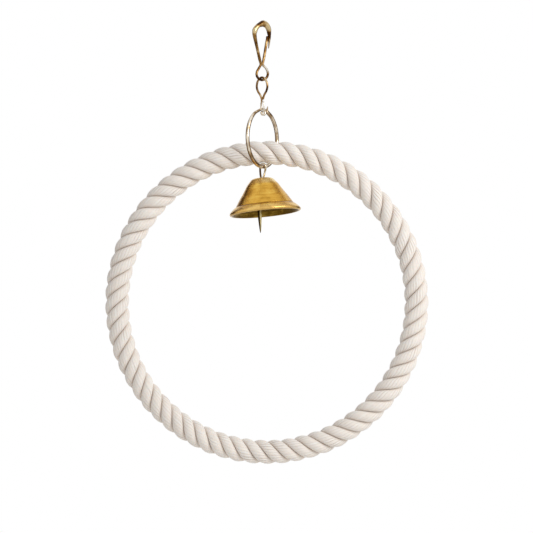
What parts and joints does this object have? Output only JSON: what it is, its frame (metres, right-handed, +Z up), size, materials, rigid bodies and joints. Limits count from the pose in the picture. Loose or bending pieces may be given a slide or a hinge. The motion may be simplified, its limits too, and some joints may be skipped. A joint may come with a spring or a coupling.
{
  "type": "bird rope swing",
  "caption": "Cotton rope hoop that hangs from a cage bar by a brass snap hook, a wire link and a wire ring, with a brass bell and clapper hung at the top inside the hoop.",
  "frame": {"origin": "the underside of the snap hook's crown, where it rests on the cage bar", "axes": "+Z up, +X to the right and -Y towards someone who looks through the hoop"},
  "size_m": [0.2969, 0.0657, 0.4086],
  "materials": {
    "hook_brass": "worn bright brass plate",
    "link_brass": "worn bright brass plate",
    "ring_metal": "polished wire, tarnished warm",
    "core_steel": "drawn wire",
    "cotton": "undyed soft twisted cotton",
    "bell_brass": "spun satin brass, aged at the rim",
    "clapper_metal": "dull tarnished"
  },
  "bodies": {
    "hook": {"snap_hook": "hook_brass"},
    "gate": {"hook_gate": "hook_brass"},
    "link": {"connector_link": "link_brass"},
    "ring": {"hanging_ring": "ring_metal"},
    "hoop": {"hoop_core_wire": "core_steel", "rope_strand_1": "cotton", "rope_strand_2": "cotton", "rope_strand_3": "cotton"},
    "bell": {"bell_shell": "bell_brass", "bell_hanger": "ring_metal"},
    "clapper": {"bell_clapper": "clapper_metal"}
  },
  "joints": [
    {"name": "gate_flex", "type": "hinge", "parent": "hook", "child": "gate", "pos_m": [0.00126, 0.00106, -0.03262], "axis": [0.6428, -0.766, 0], "range_deg": [0, 18], "stiffness_Nm_per_rad": 0.05, "springref_deg": -5.73},
    {"name": "link_swing", "type": "hinge", "parent": "hook", "child": "link", "pos_m": [0, 0, -0.0487], "axis": [0.766, 0.6428, 0], "range_deg": [-60, 60]},
    {"name": "ring_swing", "type": "hinge", "parent": "link", "child": "ring", "pos_m": [0, 0, -0.07805], "axis": [0.4067, -0.9135, 0], "range_deg": [-18, 24]},
    {"name": "hoop_swing", "type": "hinge", "parent": "ring", "child": "hoop", "pos_m": [0, 0, -0.11575], "axis": [1, 0, 0], "range_deg": [-45, 45]},
    {"name": "bell_swing", "type": "hinge", "parent": "ring", "child": "bell", "pos_m": [-0.00082, -0.00137, -0.12885], "axis": [0.515, 0.8572, 0], "range_deg": [-40, 40]},
    {"name": "clapper_swing", "type": "hinge", "parent": "bell", "child": "clapper", "pos_m": [-0.0054, 0.00288, -0.14681], "axis": [0.8506, -0.4966, -0.1729], "range_deg": [-44, 44]}
  ]
}
